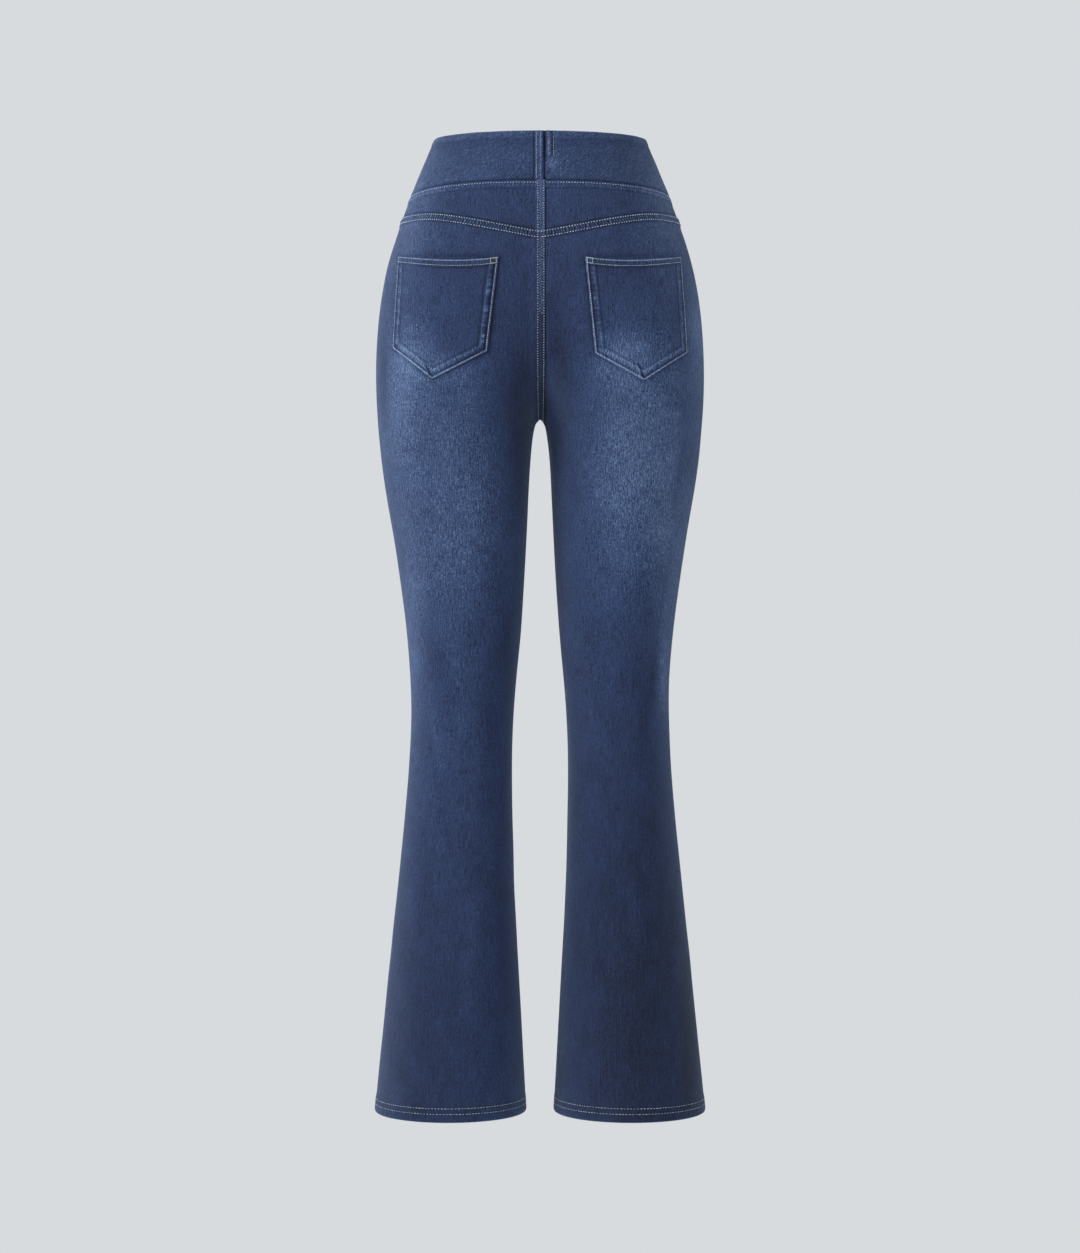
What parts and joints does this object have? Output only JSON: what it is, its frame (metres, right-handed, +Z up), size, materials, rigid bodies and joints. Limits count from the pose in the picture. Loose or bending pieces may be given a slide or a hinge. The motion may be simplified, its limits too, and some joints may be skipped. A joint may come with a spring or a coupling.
{
  "type": "bootcut jeans",
  "caption": "High-waisted bootcut jeans in blue denim, hollow as worn, with a back yoke and two patch pockets.",
  "frame": {"origin": "centre of the waist opening, level with the top edge of the waistband at the back and sides", "axes": "+Z up along the body, -Y the way the front faces, +X the wearer's left"},
  "size_m": [0.365, 0.2323, 1.0717],
  "materials": {
    "denim": "mid-blue stretch twill denim, faded at the seat and thighs",
    "waistband_denim": "the same denim, doubled and topstitched",
    "pocket_denim": "the same denim, faded at its edges",
    "thread": "cream and tan topstitching thread"
  },
  "bodies": {
    "root": {"waistband_back_left": "waistband_denim", "waistband_back_right": "waistband_denim", "waistband_front": "waistband_denim", "yoke_left": "denim", "yoke_right": "denim", "back_left": "denim", "back_right": "denim", "front_left": "denim", "front_right": "denim", "back_pocket_left": "pocket_denim", "back_pocket_right": "pocket_denim"}
  },
  "joints": []
}
